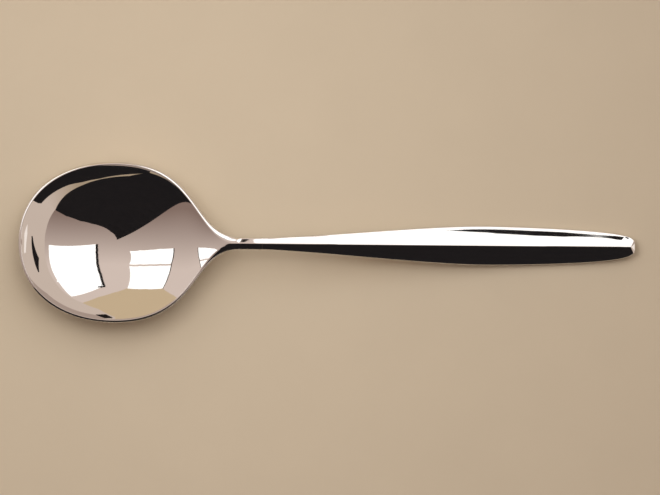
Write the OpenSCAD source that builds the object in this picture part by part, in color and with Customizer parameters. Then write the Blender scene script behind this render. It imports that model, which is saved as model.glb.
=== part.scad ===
// Round soup spoon of polished steel, lying face up on a table.
// X runs from the bowl to the tip of the handle, Y across it, Z up from the table.
// The origin is on the table, under the widest and deepest place of the bowl.

/* [Bowl] */
// Outside width of the bowl at its widest place
bowl_width = 42.8; // [36:0.2:50]
// From the tip of the bowl back to its widest place
bowl_front = 25.6; // [22:0.2:32]
// From the widest place to where the shoulders have run down into the neck
bowl_shoulder = 33.4; // [30:0.2:42]
// Depth of the hollow below the rim
bowl_depth = 8.8; // [8:0.2:15]
// Metal between the hollow and the table at the lowest point
bowl_wall = 1.2; // [1:0.1:2]
// Width of the polished rim, seen from above
rim_width = 0.7; // [0.5:0.05:1]
// Height of the rounded outer edge of the rim
rim_edge = 0.6; // [0.4:0.05:0.7]
// Length over which the outline keeps square to the axis at the bowl's tip
tip_reach = 13; // [10:0.5:18]
// Length over which the outline keeps near its full width, towards the tip
front_reach = 15; // [11:0.5:18]
// Length over which the outline keeps near its full width, towards the neck
shoulder_reach = 23.5; // [20:0.5:26]
// Length over which the shoulders ease into the neck
shoulder_run = 13; // [9:0.5:16]
// How fast the hollow gets shallow towards the neck
heel_power = 1.8; // [1.3:0.05:2]

/* [Neck] */
// Width of the neck
neck_width = 3.3; // [2.8:0.1:4.5]
// Height of the neck's sides
neck_edge = 1.5; // [1.2:0.1:2.5]
// How far the neck's underside bulges below its sides
neck_belly = 0.8; // [0.4:0.1:1.2]
// Length of the plain neck behind the shoulders
neck_length = 7.6; // [6.5:0.1:14]
// From the end of the hollow's pointed heel to the end of the shoulders
heel_setback = 0.8; // [0:0.1:2]
// Length over which the pointed heel is drawn out
heel_run = 11.5; // [8:0.5:14]

/* [Handle] */
// Widest width of the handle
handle_width = 10.6; // [8:0.2:14]
// From the neck to the widest place
handle_swell = 58; // [45:1:75]
// From the widest place to the tip
handle_end = 40.4; // [30:0.2:55]
// Height of the handle's sides
handle_edge = 1.3; // [1:0.1:2]
// How far the handle's underside bulges below its sides
handle_belly = 0.5; // [0.3:0.1:1]
// Slope of the two top faces, from the crest down to the sides
crest_pitch = 21; // [14:1:30]
// Width of the narrow rounded land along the crest
crest_land = 0.25; // [0.1:0.05:0.5]
// Bulge of each top face above a straight line from crest to side
face_crown = 0.1; // [0:0.02:0.2]
// How far the sides keep the neck's direction before they swell
flare_run = 19; // [10:1:24]
// Gain of half width for each millimetre at the start of the swell
flare_rate = 0.045; // [0:0.005:0.08]
// Length over which the swell eases into the widest place
swell_run = 15; // [8:1:20]
// How early the handle narrows towards its tip
tip_taper = 1.6; // [1.3:0.1:2.5]
// How blunt the tip is
tip_bluntness = 4; // [2.5:0.1:5]
// Width of the small flat at the very tip
tip_flat = 1.6; // [1.2:0.1:2.5]
// From the end of the shoulders to where the handle starts to sink to the table
fall_setback = 1.6; // [0:0.2:5]
// From where the handle has sunk to the table on to its tip
lying_length = 14.4; // [8:0.2:20]
// Length of the end that bends up again
lift_length = 26; // [15:1:30]
// How far the tip stands off the table
tip_lift = 0.8; // [0.4:0.1:2]

/* [Joint] */
// From the end of the shoulders back to the joint
joint_setback = 6.1; // [5:0.1:6.4]
// Length of the handle's tongue inside the neck
tongue_length = 8; // [5:0.5:10]
// Width of the tongue
tongue_width = 1.4; // [1:0.1:1.6]
// Height of the tongue
tongue_height = 1.2; // [0.8:0.1:1.4]
// Thickness of the brazing metal all round the tongue
braze_gap = 0.1; // [0.05:0.01:0.15]

/* [Rests] */
// Depth of the small flat worn where the bowl stands on the table
bowl_rest = 0.12; // [0.08:0.01:0.2]
// Depth of the small flat worn where the handle lies on the table
handle_rest = 0.1; // [0.08:0.01:0.15]
// Radius of the rounded outer edges, seen from above
edge_round = 0.15; // [0.1:0.05:0.4]

/* [Hidden] */

steel = [0.80, 0.80, 0.81];
braze_metal = [0.84, 0.81, 0.72];

half_bowl = bowl_width / 2;
half_neck = neck_width / 2;
half_handle = handle_width / 2;
half_land = crest_land / 2;
// Rise of the crest's land, which is round enough to run on into the two faces
land_rise = half_land * tan(crest_pitch) / 2;
half_hollow = half_bowl - rim_width;
hollow_front = bowl_front - rim_width;
heel_end = bowl_shoulder - heel_setback;
neck_end = bowl_shoulder + neck_length;
widest = neck_end + handle_swell;
tip = widest + handle_end;
joint = bowl_shoulder + joint_setback;
fall_start = bowl_shoulder + fall_setback;
fall_length = tip - lying_length - fall_start;
// Where the rim starts to broaden into the two top faces of the neck
broaden_start = heel_end - heel_run;

// The rim's outer edge stands at one height from the bowl's tip to the neck
rim_fall = fall_over(rim_width, rim_edge);
rim_belly = bowl_wall - rim_fall - rim_edge - land_rise;
hollow_drop = bowl_depth + land_rise;
rim_height = bowl_depth + bowl_wall - rim_fall - bowl_rest;
// Height of the handle's upper edge where it lies on the table
lying_height = handle_edge + handle_belly - handle_rest;
// Share of the hollow's lengthways curve that is a plain parabola, so that front and heel curve alike
front_round = heel_power / 3 * pow(hollow_front / (shoulder_reach - rim_width), 2);

// Steps along and round the loft
front_steps = 24;
shoulder_steps = 32;
neck_steps = 4;
swell_steps = 30;
end_steps = 18;
end_crowding = 2.2;
hollow_steps = 8;
face_steps = 3;
side_steps = 4;
belly_steps = 9;
halvings = 24;
// A hollow shallower than this counts as this deep
least_depth = 0.000001;
// First place along the front curve, where the bowl's tip is a small flat
front_first = 0.02;
// The cuts reach this far past the solids that they trim
past = 1;
// Steepest slope of the underside that the side's rounding still runs on into
steepest = 60;

function smoother(u) = let (v = max(0, min(1, u))) v * v * v * (v * (6 * v - 15) + 10);

function bezier(p, t) =
    let (s = 1 - t)
    s * s * s * p[0] + 3 * s * s * t * p[1] + 3 * s * t * t * p[2] + t * t * t * p[3];

// Place along a curve p that runs on in x, found by halving
function place(p, x, low = 0, high = 1, left = halvings) =
    let (mid = (low + high) / 2)
    left == 0 ? mid
    : bezier(p, mid)[0] < x ? place(p, x, mid, high, left - 1)
    : place(p, x, low, mid, left - 1);

function height_on(p, x) = bezier(p, place(p, x))[1];

outer_front = [
    [-bowl_front, 0],
    [-bowl_front, tip_reach],
    [-front_reach, half_bowl],
    [0, half_bowl]
];
outer_shoulder = [
    [0, half_bowl],
    [shoulder_reach, half_bowl],
    [bowl_shoulder - shoulder_run, half_neck],
    [bowl_shoulder, half_neck]
];
inner_front = [
    [-hollow_front, 0],
    [-hollow_front, tip_reach * half_hollow / half_bowl],
    [-front_reach * hollow_front / bowl_front, half_hollow],
    [0, half_hollow]
];
inner_shoulder = [
    [0, half_hollow],
    [shoulder_reach - rim_width, half_hollow],
    [heel_end - heel_run, half_land],
    [heel_end, half_land]
];
swell = [
    [neck_end, half_neck],
    [neck_end + flare_run, half_neck + flare_run * flare_rate],
    [widest - swell_run, half_handle],
    [widest, half_handle]
];

// Half width of the spoon, seen from above
function half_width(x) =
    x < 0 ? height_on(outer_front, x)
    : x < bowl_shoulder ? height_on(outer_shoulder, x)
    : x < neck_end ? half_neck
    : x < widest ? height_on(swell, x)
    : half_handle * pow(1 - pow((x - widest) / handle_end, tip_taper), 1 / tip_bluntness);

// Half width of the hollow, which leaves the rim its width and draws out into the crest's land
function half_inside(x) =
    x < -hollow_front || x > heel_end ? half_land
    : max(half_land, min(half_width(x) - rim_width, height_on(x < 0 ? inner_front : inner_shoulder, x)));

// Depth of the hollow on the axis, below the crest's land
function depth(x) =
    let (u = min(1, -x / hollow_front))
    x < 0
    ? hollow_drop * (1 - front_round * u * u - (1 - front_round) * pow(u, 4))
    : hollow_drop * pow(max(0, half_inside(x) - half_land) / (half_hollow - half_land), heel_power);

// Width of the sloping top face between the hollow or crest and the side
function face_width(x) =
    let (u = (x - broaden_start) / (bowl_shoulder - broaden_start))
    x < -hollow_front ? x + bowl_front
    : x < bowl_shoulder ? rim_width + (half_neck - rim_width) * smoother(u)
    : half_width(x);

// Angle round a side of this height where its rounding takes up the slope of the top face
function top_turn(side) = atan2(side / 2, edge_round * tan(crest_pitch));

// Angle round a side where its rounding takes up the slope of an underside of half width w and depth d
function low_turn(side, w, d) =
    let (slope = min(steepest, 2 * atan(d / w)))
    -atan2(side / 2 * cos(slope), edge_round * sin(slope));

// Fall of a top face of this width, from the crest down to the highest line of a side of this height
function fall_over(width, side) =
    let (turn = top_turn(side))
    max(0, width - edge_round * (1 - cos(turn))) * tan(crest_pitch) - side / 2 * (1 - sin(turn));

function face_fall(x) = fall_over(face_width(x), side_height(x));

// A size that changes from the bowl to the neck and on to the handle
function along(x, in_bowl, in_neck, in_handle) =
    x < bowl_shoulder
    ? in_bowl + (in_neck - in_bowl) * smoother((x - broaden_start) / (bowl_shoulder - broaden_start))
    : in_neck + (in_handle - in_neck) * smoother((x - neck_end) / handle_swell);

function side_height(x) = along(x, rim_edge, neck_edge, handle_edge);
function belly(x) = along(x, rim_belly, neck_belly, handle_belly);

// Height of the outer edge: level along the rim, then down to the table and up a little at the tip
function edge_height(x) =
    let (lift = max(0, (x - tip + lift_length) / lift_length))
    lying_height
    + (rim_height - lying_height) * (1 - smoother((x - fall_start) / fall_length))
    + tip_lift * pow(lift, 3);

// How far a round dish of half width a and depth d lies below its edge, at y from the axis
function dish(y, a, d) =
    let (radius = (a * a + d * d) / (2 * max(d, least_depth)))
    d - y * y / (radius + sqrt(radius * radius - y * y));

// Height of a top face above a straight line, at the share u of its width
function face_bulge(w, u) = 4 * u * (1 - u) * face_crown * min(1, w / half_handle);

// One half of a cross section, from the middle of the top round to the middle of the underside
function half_section(x, inside_steps) =
    let (
        w = half_width(x) - edge_round,
        a = half_inside(x),
        d = depth(x),
        edge = edge_height(x),
        crest = edge + face_fall(x),
        side = side_height(x),
        deep = d + belly(x),
        middle = edge - side / 2,
        top = top_turn(side),
        low = low_turn(side, w, deep),
        face_end = [w + edge_round * cos(top), middle + side / 2 * sin(top)],
        belly_end = [w + edge_round * cos(low), middle + side / 2 * sin(low)],
        belly_drop = belly_end[1] - edge + side + deep
    )
    concat(
        [for (i = [0 : inside_steps])
            let (u = i / inside_steps)
            [a * u, crest + land_rise * (1 - u * u) - dish(a * u, a, d)]],
        [for (i = [1 : face_steps])
            let (u = i / face_steps)
            [a, crest] + (face_end - [a, crest]) * u + [0, face_bulge(w, u)]],
        [for (i = [1 : side_steps])
            let (turn = top + (low - top) * i / side_steps)
            [w + edge_round * cos(turn), middle + side / 2 * sin(turn)]],
        [for (i = [1 : belly_steps])
            let (y = belly_end[0] * (1 - i / belly_steps))
            [y, belly_end[1] - dish(y, belly_end[0], belly_drop)]]
    );

// The whole cross section as points in space
function ring(x, inside_steps) =
    let (
        half = half_section(x, inside_steps),
        last = len(half) - 1
    )
    concat(
        [for (p = half) [x, p[0], p[1]]],
        [for (i = [last - 1 : -1 : 1]) [x, -half[i][0], half[i][1]]]
    );

// Solid through the cross sections at the places in stations
module loft(stations, inside_steps) {
    rings = [for (x = stations) ring(x, inside_steps)];
    count = len(rings[0]);
    last = len(stations) - 1;
    points = [for (r = rings) for (p = r) p];
    sides = [
        for (i = [0 : last - 1])
        for (j = [0 : count - 1])
        let (
            a = i * count + j,
            b = i * count + (j + 1) % count,
            c = b + count,
            d = a + count
        )
        each [[a, b, c], [a, c, d]]
    ];
    front = [for (j = [count - 1 : -1 : 0]) j];
    back = [for (j = [0 : count - 1]) last * count + j];
    polyhedron(points, concat([front], sides, [back]));
}

front_stations = [
    for (i = [0 : front_steps])
    bezier(outer_front, front_first + (1 - front_first) * i / front_steps)[0]
];
shoulder_stations = [for (i = [1 : shoulder_steps]) bowl_shoulder * i / shoulder_steps];
neck_stations = [
    for (i = [1 : neck_steps])
    bowl_shoulder + (joint - braze_gap - bowl_shoulder) * i / neck_steps
];
swell_stations = [for (i = [0 : swell_steps]) neck_end + handle_swell * i / swell_steps];
// The tip's flat ends the handle where the outline has closed to its width
end_share = pow(1 - pow(tip_flat / handle_width, tip_bluntness), 1 / tip_taper);
end_stations = [
    for (i = [1 : end_steps])
    widest + handle_end * end_share * (1 - pow(1 - i / end_steps, end_crowding))
];

// Everything below the table, which wears the two flats
module below_table() {
    translate([-bowl_front - past, -half_bowl - past, -bowl_depth])
        cube([bowl_front + tip + 2 * past, bowl_width + 2 * past, bowl_depth]);
}

// The tongue, or with a gap the slot that takes it
module tongue(gap, reach) {
    high = tongue_height + 2 * gap;
    wide = tongue_width + 2 * gap;
    middle = edge_height(joint) - neck_edge / 2 + (face_fall(joint) - neck_belly) / 2;
    translate([joint - tongue_length - gap, -wide / 2, middle - high / 2])
        cube([tongue_length + gap + reach, wide, high]);
}

module bowl() {
    color(steel)
        difference() {
            loft(concat(front_stations, shoulder_stations, neck_stations), hollow_steps);
            tongue(braze_gap, past);
            below_table();
        }
}

module handle() {
    color(steel)
        difference() {
            union() {
                loft(concat([joint], swell_stations, end_stations), 1);
                tongue(0, past);
            }
            below_table();
        }
}

module braze() {
    color(braze_metal)
        difference() {
            union() {
                loft([joint - braze_gap, joint], 1);
                tongue(braze_gap, 0);
            }
            tongue(0, past);
        }
}

bowl();
handle();
braze();
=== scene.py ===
import math
from collections import namedtuple

import bmesh
import bpy
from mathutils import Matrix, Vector


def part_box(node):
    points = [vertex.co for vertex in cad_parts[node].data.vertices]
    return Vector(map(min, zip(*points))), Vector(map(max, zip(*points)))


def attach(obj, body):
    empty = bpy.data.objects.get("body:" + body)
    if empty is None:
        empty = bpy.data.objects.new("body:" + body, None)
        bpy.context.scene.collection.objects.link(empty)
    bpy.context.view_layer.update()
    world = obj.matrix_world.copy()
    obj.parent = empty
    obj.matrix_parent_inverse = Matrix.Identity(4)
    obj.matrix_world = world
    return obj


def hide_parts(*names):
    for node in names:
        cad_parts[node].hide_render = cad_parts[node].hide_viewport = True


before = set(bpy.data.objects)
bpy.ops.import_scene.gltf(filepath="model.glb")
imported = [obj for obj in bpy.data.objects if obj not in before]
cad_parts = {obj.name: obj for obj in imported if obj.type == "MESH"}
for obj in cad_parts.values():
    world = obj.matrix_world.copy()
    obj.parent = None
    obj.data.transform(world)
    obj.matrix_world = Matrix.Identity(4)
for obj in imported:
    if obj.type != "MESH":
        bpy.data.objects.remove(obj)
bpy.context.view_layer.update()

# Bowl and neck
# The bowl is pressed from steel sheet, ground to an even rim and polished like a mirror. It ends in a
# pointed heel, from which a crest runs on along the slim neck, up to the slot for the handle's tongue.
bowl_low, bowl_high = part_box("bowl")
half_bowl = bowl_high.y
bowl_front = -bowl_low.x
bowl_shoulder = 0.0334
bowl_depth = 0.0088
bowl_wall = 0.0012
bowl_rest = 0.00012
rim_width = 0.0007
rim_edge = 0.0006
tip_reach = 0.013
front_reach = 0.015
shoulder_reach = 0.0235
shoulder_run = 0.013
heel_power = 1.8
heel_setback = 0.0008
heel_run = 0.0115
half_neck = 0.00165
neck_edge = 0.0015
neck_belly = 0.0008
neck_length = 0.0076
crest_pitch = math.tan(math.radians(21))
half_land = 0.000125
face_crown = 0.0001
edge_round = 0.00015
steepest = math.radians(60)
joint_setback = 0.0061
tongue_length = 0.008
tongue_width = 0.0014
tongue_height = 0.0012
braze_gap = 0.0001
polish = 0.000001

land_rise = half_land * crest_pitch / 2
half_hollow = half_bowl - rim_width
hollow_front = bowl_front - rim_width
heel_end = bowl_shoulder - heel_setback
neck_end = bowl_shoulder + neck_length
joint = bowl_shoulder + joint_setback
broaden_start = heel_end - heel_run
hollow_drop = bowl_depth + land_rise
front_round = heel_power / 3 * (hollow_front / (shoulder_reach - rim_width)) ** 2

# The handle sinks in an S from the neck to the table, so its rise belongs to the neck too
handle_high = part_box("handle")[1]
half_handle = handle_high.y
tip = handle_high.x
handle_swell = 0.058
handle_edge = 0.0013
handle_belly = 0.0005
handle_rest = 0.0001
fall_setback = 0.0016
lying_length = 0.0144
lift_length = 0.026
tip_lift = 0.0008

fall_start = bowl_shoulder + fall_setback
fall_length = tip - lying_length - fall_start
lying_height = handle_edge + handle_belly - handle_rest

# A place along the spoon: a point of the outline, one of the hollow's edge or the crest, the width of the
# face between them, the hollow's depth, and how much of the wall lies below it
Station = namedtuple("Station", "outer inner face depth wall_share")


def ease(share):
    """Rise from 0 to 1 that starts and ends level."""
    v = max(0.0, min(1.0, share))
    return v * v * v * (v * (6 * v - 15) + 10)


def along_curve(guide, t):
    """Point at t on the cubic curve that four guide points pull into shape."""
    s = 1 - t
    shares = (s * s * s, 3 * s * s * t, 3 * s * t * t, t * t * t)
    return sum((Vector(p) * k for p, k in zip(guide, shares)), Vector((0, 0)))


def broadening(x):
    """Share of the way at x from the bowl's narrow rim to the full neck."""
    return ease((x - broaden_start) / (bowl_shoulder - broaden_start))


def from_bowl_to_handle(x, in_bowl, in_neck, in_handle):
    """Size at x that passes from the bowl's to the neck's and on to the handle's."""
    if x < bowl_shoulder:
        return in_bowl + (in_neck - in_bowl) * broadening(x)
    return in_neck + (in_handle - in_neck) * ease((x - neck_end) / handle_swell)


def side_height(x):
    return from_bowl_to_handle(x, rim_edge, neck_edge, handle_edge)


def face_turn(side, slope):
    """Angle round the rounded side where it has the slope of the top face."""
    return math.atan2(side / 2, edge_round * slope)


def fall_over(face, side):
    """Fall of a top face, from the crest down to the highest line of its side."""
    turn = face_turn(side, crest_pitch)
    run = max(0.0, face - edge_round * (1 - math.cos(turn)))
    return run * crest_pitch - side / 2 * (1 - math.sin(turn))


rim_fall = fall_over(rim_width, rim_edge)
rim_belly = bowl_wall - rim_fall - rim_edge - land_rise
rim_height = bowl_depth + bowl_wall - rim_fall - bowl_rest


def edge_height(x):
    """Height of the outer edge: level round the bowl, then down to the table and up a little at the tip."""
    sunk = ease((x - fall_start) / fall_length)
    lift = max(0.0, (x - tip + lift_length) / lift_length)
    return rim_height + (lying_height - rim_height) * sunk + tip_lift * lift ** 3


def dish(y, half, deep):
    """How far a round dish lies below its edge, at y from the axis."""
    if deep <= 0:
        return 0.0
    radius = (half * half + deep * deep) / (2 * deep)
    return deep - y * y / (radius + math.sqrt(max(0.0, radius * radius - y * y)))


def bowl_stations():
    """Places from the bowl's tip to the joint."""
    outer_front = [(-bowl_front, 0), (-bowl_front, tip_reach), (-front_reach, half_bowl), (0, half_bowl)]
    inner_front = [
        (-hollow_front, 0),
        (-hollow_front, tip_reach * half_hollow / half_bowl),
        (-front_reach * hollow_front / bowl_front, half_hollow),
        (0, half_hollow),
    ]
    outer_shoulder = [
        (0, half_bowl),
        (shoulder_reach, half_bowl),
        (bowl_shoulder - shoulder_run, half_neck),
        (bowl_shoulder, half_neck),
    ]
    inner_shoulder = [
        (0, half_hollow),
        (shoulder_reach - rim_width, half_hollow),
        (heel_end - heel_run, half_land),
        (heel_end, half_land),
    ]
    front_steps, shoulder_steps, neck_steps = 80, 110, 16
    stations = []
    for step in range(front_steps):
        outer, inner = (along_curve(c, step / front_steps) for c in (outer_front, inner_front))
        forward = -inner.x / hollow_front
        share = 1 - front_round * forward * forward - (1 - front_round) * forward ** 4
        stations.append(Station(outer, inner, rim_width, hollow_drop * share, share))
    for step in range(shoulder_steps):
        outer, inner = (along_curve(c, step / shoulder_steps) for c in (outer_shoulder, inner_shoulder))
        share = max(0.0, (inner.y - half_land) / (half_hollow - half_land))
        face = rim_width + (half_neck - rim_width) * broadening(inner.x)
        stations.append(Station(outer, inner, face, hollow_drop * share ** heel_power, 1))
    end = joint - braze_gap
    for step in range(neck_steps + 1):
        share = step / neck_steps
        outer = Vector((bowl_shoulder + (end - bowl_shoulder) * share, half_neck))
        inner = Vector((heel_end + (end - heel_end) * share, half_land))
        face = rim_width + (half_neck - rim_width) * broadening(inner.x)
        stations.append(Station(outer, inner, face, 0, 1))
    return stations


def shape_grid(bm, columns, rows, place):
    """Add a grid to the mesh and put each of its points where place(column, row) says."""
    made = bmesh.ops.create_grid(bm, x_segments=columns, y_segments=rows, size=1)
    for vert in made["verts"]:
        column = round((vert.co.x + 1) / 2 * columns)
        row = round((vert.co.y + 1) / 2 * rows)
        vert.co = place(column, row)


def section(stations, index, face_steps, side_steps):
    """Half a cross section: the points of its face and side, then how deep the underside drops."""
    here = stations[index]
    after = stations[min(index + 1, len(stations) - 1)].outer
    before = stations[index - 1].outer if index else Vector((after.x, -after.y))
    run_on = after - before
    out = Vector((run_on.y, -run_on.x)).normalized()
    if out.dot(here.outer - here.inner) < 0:
        out.negate()
    side = side_height(here.outer.x)
    edge = edge_height(here.outer.x)
    crest = edge_height(here.inner.x) + fall_over(here.face, side_height(here.inner.x))
    bulge = face_crown
    if here.outer.x >= bowl_shoulder:
        bulge *= max(0.0, min(1.0, (here.outer.y - edge_round) / half_handle))

    def on_side(turn):
        spot = here.outer - out * edge_round * (1 - math.cos(turn))
        return Vector((spot.x, spot.y, edge - side / 2 + side / 2 * math.sin(turn)))

    start = Vector((here.inner.x, here.inner.y, crest))
    run = (here.outer - here.inner).length
    top_turn = face_turn(side, crest_pitch + 4 * bulge / max(run, edge_round))
    belly = from_bowl_to_handle(here.outer.x, rim_belly, neck_belly, handle_belly)
    deep = here.depth + belly
    slope = min(steepest, 2 * math.atan2(deep, max(edge_round, here.outer.y - edge_round)))
    low_turn = -math.atan2(side / 2 * math.cos(slope), edge_round * math.sin(slope))
    face_end = on_side(top_turn)
    points = []
    for step in range(face_steps):
        share = step / face_steps
        points.append(start.lerp(face_end, share) + Vector((0, 0, 4 * share * (1 - share) * bulge)))
    for step in range(side_steps + 1):
        points.append(on_side(top_turn + (low_turn - top_turn) * step / side_steps))
    drop = here.depth + (belly + side / 2 * (1 + math.sin(low_turn))) * here.wall_share
    return points, drop


edge_crowding = 0.45
weld_distance = 1e-7


def crowd_to_edges(share):
    """Spread from -1 to 1 that draws the rows together towards both edges."""
    t = 2 * share - 1
    return t * (1 + edge_crowding - edge_crowding * t * t)


def spoon_shell(stations, across, under, face_steps=8, side_steps=10):
    """Skin through the stations: the hollow or crest, the faces and sides, and the underside."""
    last = len(stations) - 1
    sections = [section(stations, index, face_steps, side_steps) for index in range(last + 1)]
    bm = bmesh.new()

    def on_top(column, row):
        here = stations[column]
        crest = sections[column][0][0].z
        share = crowd_to_edges(row / across)
        rise = land_rise * (1 - share * share) - polish
        y = here.inner.y * share
        return here.inner.x, y, crest + rise - dish(y, here.inner.y, here.depth)

    def on_band(column, row):
        spot = sections[abs(column - last)][0][row]
        return spot.x, math.copysign(spot.y, column - last), spot.z

    def on_underside(column, row):
        points, drop = sections[column]
        share = crowd_to_edges(row / under)
        y = points[-1].y * share
        return points[-1].x, y, points[-1].z - dish(y, points[-1].y, drop)

    shape_grid(bm, last, across, on_top)
    shape_grid(bm, 2 * last, face_steps + side_steps, on_band)
    shape_grid(bm, last, under, on_underside)
    bmesh.ops.remove_doubles(bm, verts=bm.verts, dist=weld_distance)
    for face in bm.faces:
        face.smooth = True
    return bm


def wear_flat(bm):
    """Cut off what is below the table and close the small worn flat."""
    geometry = bm.verts[:] + bm.edges[:] + bm.faces[:]
    cut = bmesh.ops.bisect_plane(bm, geom=geometry, plane_co=(0, 0, 0), plane_no=(0, 0, 1), clear_inner=True)
    rim = [e for e in cut["geom_cut"] if isinstance(e, bmesh.types.BMEdge)]
    bmesh.ops.edgeloop_fill(bm, edges=rim, use_smooth=False)


def close_at_joint(bm, x, depth_to, gap):
    """Close the open end with a face round a square tongue, or slot, that reaches to depth_to."""
    rim = [e for e in bm.edges if e.is_boundary and all(abs(v.co.x - x) < braze_gap / 2 for v in e.verts)]
    middle = edge_height(joint) - neck_edge / 2 + (fall_over(half_neck, neck_edge) - neck_belly) / 2
    wide, high = tongue_width / 2 + gap, tongue_height / 2 + gap
    square = bmesh.ops.create_circle(bm, segments=4, radius=1)["verts"]
    for vert, (y, z) in zip(square, ((wide, high), (-wide, high), (-wide, -high), (wide, -high))):
        vert.co = x, y, middle + z
    square_edges = list({e for v in square for e in v.link_edges})
    faces = bmesh.ops.bridge_loops(bm, edges=rim + square_edges)["faces"]
    walls = bmesh.ops.extrude_edge_only(bm, edges=square_edges)["geom"]
    far = [v for v in walls if isinstance(v, bmesh.types.BMVert)]
    bmesh.ops.translate(bm, verts=far, vec=(depth_to - x, 0, 0))
    far_edges = [e for e in walls if isinstance(e, bmesh.types.BMEdge) and all(v in far for v in e.verts)]
    bmesh.ops.edgeloop_fill(bm, edges=far_edges)
    for face in faces + [f for v in far for f in v.link_faces]:
        face.smooth = False
    for edge in rim:
        edge.smooth = False


def piece_from(bm, name, material):
    """Finished piece from a mesh, with its faces turned outwards."""
    bmesh.ops.recalc_face_normals(bm, faces=bm.faces)
    mesh = bpy.data.meshes.new(name)
    bm.to_mesh(mesh)
    bm.free()
    mesh.materials.append(material)
    piece = bpy.data.objects.new(name, mesh)
    bpy.context.scene.collection.objects.link(piece)
    return piece


steel_colour = (0.86, 0.845, 0.83)
smear_scale = 70
smear_detail = 3
smear_stretch = (0.5, 1, 1)
smear_turn = 0.3
smear_from = 0.3
smear_to = 0.7
smear_dulling = 0.97
clean_roughness = 0.018
smeared_roughness = 0.04
stroke_scale = 900
stroke_detail = 2
stroke_stretch = (0.04, 6, 6)
stroke_turn = 0.05
stroke_strength = 0.25
stroke_depth = 4e-7


def noise(tree, scale, detail, stretch=(1, 1, 1), turn=0.0):
    """Cloudy noise on the piece's own coordinates, stretched and turned about the upright axis."""
    place = tree.nodes.new("ShaderNodeTexCoord")
    mapping = tree.nodes.new("ShaderNodeMapping")
    mapping.inputs["Scale"].default_value = stretch
    mapping.inputs["Rotation"].default_value = (0, 0, turn)
    texture = tree.nodes.new("ShaderNodeTexNoise")
    texture.inputs["Scale"].default_value = scale
    texture.inputs["Detail"].default_value = detail
    tree.links.new(place.outputs["Object"], mapping.inputs["Vector"])
    tree.links.new(mapping.outputs["Vector"], texture.inputs["Vector"])
    return texture.outputs["Fac"]


def spread(tree, value, first, last, low=0.0, high=1.0):
    """Turn what lies between first and last into what lies between low and high."""
    ends = tree.nodes.new("ShaderNodeMapRange")
    ends.inputs["From Min"].default_value = first
    ends.inputs["From Max"].default_value = last
    ends.inputs["To Min"].default_value = low
    ends.inputs["To Max"].default_value = high
    tree.links.new(value, ends.inputs["Value"])
    return ends.outputs["Result"]


def blend(tree, share, first, last, socket):
    """Send a blend of two colours to a socket."""
    tone = tree.nodes.new("ShaderNodeMix")
    tone.data_type = "RGBA"
    tone.inputs["A"].default_value = (*first, 1)
    tone.inputs["B"].default_value = (*last, 1)
    tree.links.new(share, tone.inputs["Factor"])
    tree.links.new(tone.outputs["Result"], socket)


def relief(tree, height, strength, depth, shader):
    """Give a shader a fine relief."""
    bump = tree.nodes.new("ShaderNodeBump")
    bump.inputs["Strength"].default_value = strength
    bump.inputs["Distance"].default_value = depth
    tree.links.new(height, bump.inputs["Height"])
    tree.links.new(bump.outputs["Normal"], shader.inputs["Normal"])


def polished_metal(name, colour):
    """Mirror-polished metal with faint smears and the fine straight lines that wiping leaves."""
    material = bpy.data.materials.new(name)
    material.use_nodes = True
    tree = material.node_tree
    metal = tree.nodes["Principled BSDF"]
    metal.inputs["Metallic"].default_value = 1
    smear = noise(tree, smear_scale, smear_detail, smear_stretch, smear_turn)
    dulled = [c * smear_dulling for c in colour]
    blend(tree, spread(tree, smear, smear_from, smear_to), dulled, colour, metal.inputs["Base Color"])
    roughness = spread(tree, smear, smear_from, smear_to, clean_roughness, smeared_roughness)
    tree.links.new(roughness, metal.inputs["Roughness"])
    strokes = noise(tree, stroke_scale, stroke_detail, stroke_stretch, stroke_turn)
    relief(tree, strokes, stroke_strength, stroke_depth, metal)
    return material


polished_steel = polished_metal("polished_steel", steel_colour)

bowl_mesh = spoon_shell(bowl_stations(), across=72, under=56)
close_at_joint(bowl_mesh, joint - braze_gap, joint - braze_gap - tongue_length, braze_gap)
wear_flat(bowl_mesh)
bowl = piece_from(bowl_mesh, "polished_bowl", polished_steel)
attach(bowl, "root")
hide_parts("bowl")

# Handle
# A steel bar with a crest along the middle of its top, ground thin at the neck and broad near the end.
# Its square tongue goes into the neck's slot, and the whole is polished after brazing.
flare_run = 0.019
flare_rate = 0.045
swell_run = 0.015
tip_taper = 1.6
tip_bluntness = 4
crest_setback = 0.0013
wall_fades = 0.85
widest = neck_end + handle_swell
handle_end = tip - widest


def half_end(x):
    """Half the handle's width at x, between its widest place and the tip."""
    share = max(0.0, min(1.0, (x - widest) / handle_end))
    return half_handle * (1 - share ** tip_taper) ** (1 / tip_bluntness)


def handle_stations():
    """Places from the handle's tip back to the joint."""
    swell = [
        (neck_end, half_neck),
        (neck_end + flare_run, half_neck + flare_run * flare_rate),
        (widest - swell_run, half_handle),
        (widest, half_handle),
    ]
    end_steps, swell_steps, neck_steps = 70, 120, 4
    stations = []
    for step in range(end_steps):
        turn = math.pi / 2 * (step / end_steps) ** 2
        share = math.cos(turn) ** (2 / tip_taper)
        half = half_handle * math.sin(turn) ** (2 / tip_bluntness)
        outer = Vector((widest + handle_end * share, half))
        inner = Vector((widest + (handle_end - crest_setback) * share, half_land * half / half_handle))
        wall_share = ease(half / half_handle / wall_fades)
        stations.append(Station(outer, inner, half_end(inner.x), 0, wall_share))
    for step in range(swell_steps):
        outer = along_curve(swell, 1 - step / swell_steps)
        stations.append(Station(outer, Vector((outer.x, half_land)), outer.y, 0, 1))
    for step in range(neck_steps + 1):
        x = neck_end + (joint - neck_end) * step / neck_steps
        stations.append(Station(Vector((x, half_neck)), Vector((x, half_land)), half_neck, 0, 1))
    return stations


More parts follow.
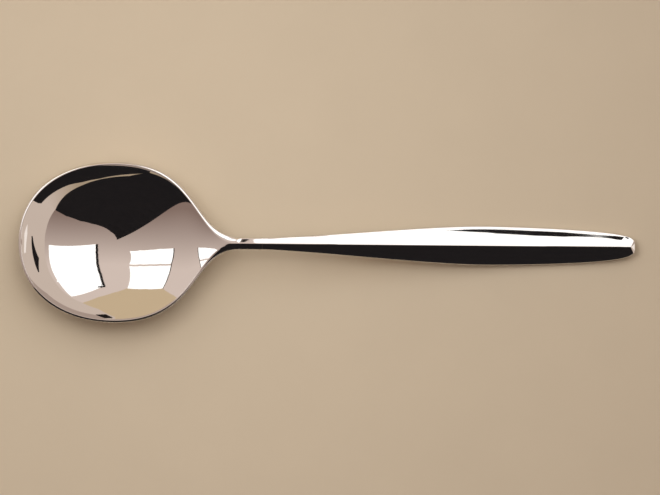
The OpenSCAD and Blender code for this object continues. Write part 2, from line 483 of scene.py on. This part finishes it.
handle_mesh = spoon_shell(handle_stations(), across=8, under=40, face_steps=20, side_steps=12)
close_at_joint(handle_mesh, joint, joint - tongue_length, 0)
wear_flat(handle_mesh)
handle = piece_from(handle_mesh, "polished_handle", polished_steel)
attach(handle, "root")
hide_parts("handle")

# Braze
# The thin film of pale brazing metal that fills the joint between tongue and slot. Only its edge shows, as
# a hairline round the neck, filed and polished flush with the steel.
brazing_colour = (0.86, 0.84, 0.8)
film_steps = 2


def film_stations():
    """Places from the front of the film to its back."""
    places = [joint - braze_gap * (1 - step / film_steps) for step in range(film_steps + 1)]
    return [Station(Vector((x, half_neck)), Vector((x, half_land)), half_neck, 0, 1) for x in places]


braze_mesh = spoon_shell(film_stations(), across=8, under=40)
close_at_joint(braze_mesh, joint - braze_gap, joint - braze_gap - tongue_length, braze_gap)
close_at_joint(braze_mesh, joint, joint - tongue_length, 0)
brazing_metal = polished_metal("brazing_metal", brazing_colour)
braze = piece_from(braze_mesh, "polished_braze", brazing_metal)
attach(braze, "root")
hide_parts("braze")

# Table
# A wide sheet of smooth beige paper, on which the spoon lies and throws its soft shadow. The paper has a
# faint cloudy tone and a fine tooth.
table_half = 4.2
table_colour = (0.57, 0.486, 0.37)
cloud_scale = 45
cloud_detail = 6
cloud_tone = 0.03
tooth_scale = 1800
tooth_detail = 3
tooth_strength = 0.15
tooth_depth = 0.0001


def matt_sheet(name, colour):
    """Matt paper or cloth of one colour, with faint clouds and a fine tooth."""
    material = bpy.data.materials.new(name)
    material.use_nodes = True
    tree = material.node_tree
    sheet = tree.nodes["Principled BSDF"]
    sheet.inputs["Roughness"].default_value = 0.85
    sheet.inputs["Specular IOR Level"].default_value = 0.2
    darker = [c * (1 - cloud_tone) for c in colour]
    lighter = [c * (1 + cloud_tone) for c in colour]
    blend(tree, noise(tree, cloud_scale, cloud_detail), darker, lighter, sheet.inputs["Base Color"])
    relief(tree, noise(tree, tooth_scale, tooth_detail), tooth_strength, tooth_depth, sheet)
    return material


table_mesh = bmesh.new()
bmesh.ops.create_grid(table_mesh, x_segments=2, y_segments=2, size=table_half)
table_paper = matt_sheet("table_paper", table_colour)
table = piece_from(table_mesh, "table", table_paper)

# Light
# Bright panels with thin dark frames, a dark cloth on the near side and low glowing cards that stand in for
# lit paper round the table, all curved sheets about four metres away that the camera sees only in the polish.
# A few small cards near the neck, walls that darken to the near side and one soft lamp overhead complete the
# studio.
panel_distance = 4.0
low_card_distance = 3.95
foot_card_distance = 3.92
cloth_distance = 3.9
front_cloth_distance = 3.85
card_steps = 10


def card(name, low, high, material, distance):
    """Hang a curved sheet between two lines round the bowl.

    Each corner of a line is a bearing from +X and a rise above the table, in degrees.
    """
    bm = bmesh.new()
    spans = len(low) - 1

    def place(column, row):
        span = min(column // card_steps, spans - 1)
        share = column / card_steps - span
        ends = [Vector(line[span]).lerp(Vector(line[span + 1]), share) for line in (low, high)]
        bearing, rise = (math.radians(angle) for angle in ends[0].lerp(ends[1], row / card_steps))
        level = math.cos(rise)
        return Vector((level * math.cos(bearing), level * math.sin(bearing), math.sin(rise))) * distance

    shape_grid(bm, card_steps * spans, card_steps, place)
    sheet = piece_from(bm, name, material)
    sheet.visible_camera = False
    sheet.visible_shadow = False


def glowing(name, colour, strength=1.0):
    """Sheet that glows evenly in one colour."""
    material = bpy.data.materials.new(name)
    material.use_nodes = True
    nodes, links = material.node_tree.nodes, material.node_tree.links
    nodes.remove(nodes["Principled BSDF"])
    glow = nodes.new("ShaderNodeEmission")
    glow.inputs["Color"].default_value = (*colour, 1)
    glow.inputs["Strength"].default_value = strength
    links.new(glow.outputs["Emission"], nodes["Material Output"].inputs["Surface"])
    return material


def place_along(tree, coordinates, axis):
    """How far along an axis a point lies, or a direction points."""
    place = tree.nodes.new("ShaderNodeTexCoord")
    axes = tree.nodes.new("ShaderNodeSeparateXYZ")
    tree.links.new(place.outputs[coordinates], axes.inputs["Vector"])
    return axes.outputs[axis]


def down_to_table(line):
    """The foot of a card, straight below the corners of its top."""
    return [(bearing, 0) for bearing, _ in line]


# The right panel is one tall sheet, and the left one is crossed by a thin bar
panel_glow = glowing("panel_glow", (1, 0.98, 0.95), strength=1.5)
right_far_side = (
    (4, 40.6), (12, 39.8), (20, 38.4), (30, 36.2), (40, 33.8), (50.5, 30.7), (58, 27.5), (67, 23)
)
right_side = (
    (13, 80.3), (28.5, 79.3), (41.6, 77.5), (56, 73.6), (64.5, 69), (72.8, 62.2), (79.5, 54.5), (85.5, 42.5)
)
left_top = ((145, 74.4), (159, 67.1), (166.3, 58), (171, 48), (174, 34))
left_bar = ((119, 63.6), (133.5, 58.5), (144, 51.3), (152, 42.5), (157.5, 31.6))
left_under_bar = ((117, 61.8), (131, 56.8), (142, 49.9), (150, 41.2), (155.7, 31))
left_foot = ((104, 38.9), (112, 35.7), (119.5, 31.7), (126.5, 27.3), (133, 21.7))
card("right_panel", right_far_side, right_side, panel_glow, panel_distance)
card("left_panel_top", left_bar, left_top, panel_glow, panel_distance)
card("left_panel_low", left_foot, left_under_bar, panel_glow, panel_distance)

# Frames of the panels, and the slim shade that shows as a dark lens on the handle's bright face
dark_cloth = matt_sheet("dark_cloth", (0.021, 0.022, 0.029))
frame_side = (
    (14, 82), (33, 80.7), (47, 78.8), (61, 74.5), (69, 69.8), (76.3, 62.7), (82.3, 55), (87.3, 43)
)
low_frame_foot = ((81.3, 40.1), (87.3, 41.3))
low_frame_top = ((81.3, 41.5), (87.3, 43))
left_frame_foot = ((174, 33), (157.5, 30.7), (144.5, 26), (133, 20.9))
left_frame_top = ((174, 34), (157.5, 31.6), (144.5, 27), (133, 21.7))
shade_foot = ((69.7, 39.6), (70.6, 39.2), (72, 39.5), (77, 41), (79.9, 41.5), (81, 42.3))
shade_top = ((69.7, 40), (69.9, 41.4), (71, 42.8), (76, 45), (79.3, 45.6), (80.8, 44.8))
card("right_frame", right_side, frame_side, dark_cloth, cloth_distance)
card("low_frame", low_frame_foot, low_frame_top, dark_cloth, cloth_distance)
card("left_frame", left_frame_foot, left_frame_top, dark_cloth, cloth_distance)
card("handle_shade", shade_foot, shade_top, dark_cloth, cloth_distance)

# Dark cloth on the near side, a high sheet and a low one in front of it
cloth_foot = (
    (-40.5, 34.5), (-59, 28), (-74.5, 23.5), (-87.5, 18.5), (-101, 13.5), (-113, 3), (-129, 0), (-145, 0)
)
cloth_top = (
    (-39.5, 35.5), (-41, 47), (-47.5, 59.5), (-58, 67), (-70, 72), (-90, 79), (-115, 83), (-145, 85.5)
)
low_cloth_top = (
    (-36, 16.5), (-37.5, 19.3), (-66, 18.8), (-75, 20), (-85.5, 18.4), (-94.5, 14.2), (-104, 9.8), (-113, 4)
)
card("dark_card", cloth_foot, cloth_top, dark_cloth, cloth_distance)
card("low_dark_card", down_to_table(low_cloth_top), low_cloth_top, dark_cloth, front_cloth_distance)

# Low glowing cards that stand in for lit paper round the table, seen in the polish
pale_tone = (0.65, 0.53, 0.45)
crescent_shade_tone = (0.43, 0.33, 0.23)
crescent_pale_x = 2.7
crescent_shaded_x = 1.2
pale_card_glow = glowing("pale_card_glow", pale_tone)
crescent_card_glow = glowing("crescent_card_glow", crescent_shade_tone)
# The foot card's glow is a painted shade, darker than the lit paper
shaded_card_glow = glowing("shaded_card_glow", (0.43, 0.33, 0.28))
far_card_glow = glowing("far_card_glow", (0.63, 0.48, 0.31))
# Painted shade: the near card's glow fades along X from the pale tone to a shaded brown
crescent = crescent_card_glow.node_tree
along_crescent = spread(crescent, place_along(crescent, "Object", "X"), crescent_pale_x, crescent_shaded_x)
blend(crescent, along_crescent, pale_tone, crescent_shade_tone, crescent.nodes["Emission"].inputs["Color"])
right_low_top = (
    (-40.5, 34.5), (-16, 36.2), (3, 36.3), (25, 33.7), (46.5, 29), (62, 23.5), (76, 19.2), (86, 14), (94, 3.5)
)
far_low_top = ((75, 18), (84, 29), (93, 35), (103, 38.8), (119, 32.7), (133, 21.5), (135.5, 5))
right_foot_top = ((-20, 10), (2, 12), (25, 12), (51, 13), (62, 10.5), (77, 7), (90, 5))
card("near_low_card", down_to_table(cloth_foot), cloth_foot, crescent_card_glow, low_card_distance)
card("right_low_card", down_to_table(right_low_top), right_low_top, pale_card_glow, low_card_distance)
card("far_low_card", down_to_table(far_low_top), far_low_top, far_card_glow, panel_distance)
card("right_foot_card", down_to_table(right_foot_top), right_foot_top, shaded_card_glow, foot_card_distance)

# Slim dark strips in front of the low cards, and a glowing strip that paints a bright streak in the polish
patch_foot = ((85.5, 5.8), (90, 1.5), (93, 2))
patch_top = ((85.5, 6.3), (90, 7.5), (93, 3))
dark_strip_foot = ((-5, 21.8), (5, 22.2), (17, 22.4), (30, 21.8))
dark_strip_top = ((-5, 23), (8, 26), (17, 28), (30, 22.8))
bright_strip_foot = ((-14, 16), (-6, 14.2), (9, 14))
bright_strip_top = ((-14, 16.3), (-6, 17.2), (9, 15.5))
bright_card_glow = glowing("bright_card_glow", (1, 0.9, 0.83))
card("dark_patch", patch_foot, patch_top, dark_cloth, cloth_distance)
card("dark_strip", dark_strip_foot, dark_strip_top, dark_cloth, cloth_distance)
card("bright_strip", bright_strip_foot, bright_strip_top, bright_card_glow, cloth_distance)

# Small cards close to the neck, which the neck and the handle see, while in the bowl they lie white on white
neck_panel_distance = 0.25
side_panel_distance = 0.4
neck_panel_foot = (
    (48.6, 33.4), (50.6, 33.8), (53.4, 34.9), (60.3, 38), (69.6, 39.5), (76, 39.2), (78, 39.8), (79.7, 41)
)
neck_panel_top = ((48.6, 44), (50.6, 46), (55, 51), (60, 58), (68, 60), (75, 56), (78, 51), (79.7, 43.5))
tip_panel_foot = ((46, 36), (54.4, 36))
tip_panel_top = ((46, 45), (54.4, 46))
side_panel_foot = ((77.5, 41.6), (82.2, 42))
side_panel_top = ((77.5, 47.5), (82.2, 46.8))
neck_frame_foot = ((84.75, 41.5), (85.3, 41.5))
neck_frame_top = ((84.2, 50.8), (84.65, 50.8))
card("neck_panel", neck_panel_foot, neck_panel_top, panel_glow, neck_panel_distance)
card("tip_panel", tip_panel_foot, tip_panel_top, panel_glow, side_panel_distance)
card("side_panel", side_panel_foot, side_panel_top, panel_glow, side_panel_distance)
card("neck_frame", neck_frame_foot, neck_frame_top, dark_cloth, side_panel_distance)

# The lamp that draws the shadow, hidden from the polish
lamp_place = Vector((-0.005, 0.042, 0.2))
lamp_aim = Vector((0.03, 0, 0))
overhead = bpy.data.lights.new("overhead", "AREA")
overhead.size = 0.13
overhead.energy = 0.17
overhead.color = (1, 0.97, 0.93)
overhead_lamp = bpy.data.objects.new("overhead", overhead)
overhead_lamp.location = lamp_place
overhead_lamp.rotation_euler = (lamp_aim - lamp_place).to_track_quat("-Z", "Y").to_euler()
overhead_lamp.visible_glossy = False
overhead_lamp.visible_camera = False
bpy.context.scene.collection.objects.link(overhead_lamp)

# Walls all round, brown on the near side and paler to the far side
near_wall_tone = (0.26, 0.18, 0.15)
far_wall_tone = (0.73, 0.6, 0.53)
near_wall_y = -0.5
far_wall_y = 0.4
studio = bpy.data.worlds.new("studio")
studio.use_nodes = True
walls = studio.node_tree
across_walls = spread(walls, place_along(walls, "Generated", "Y"), near_wall_y, far_wall_y)
blend(walls, across_walls, near_wall_tone, far_wall_tone, walls.nodes["Background"].inputs["Color"])
bpy.context.scene.world = studio

# Camera
# A camera with a long lens on a tall stand. It looks straight down on the table, and is turned by half a
# degree about its own axis.
lens = 200
sensor = 36
frame_width = 0.17644
camera_turn = math.radians(0.5)
look_at = Vector((0.05748, -0.00087, 0.006))
reach = frame_width * lens / sensor
camera = bpy.data.objects.new("camera", bpy.data.cameras.new("camera"))
camera.data.lens = lens
camera.data.sensor_width = sensor
camera.location = look_at + Vector((0, 0, reach))
camera.rotation_euler = (0, 0, camera_turn)
bpy.context.scene.collection.objects.link(camera)
bpy.context.scene.camera = camera
bpy.context.scene.view_settings.view_transform = "Standard"
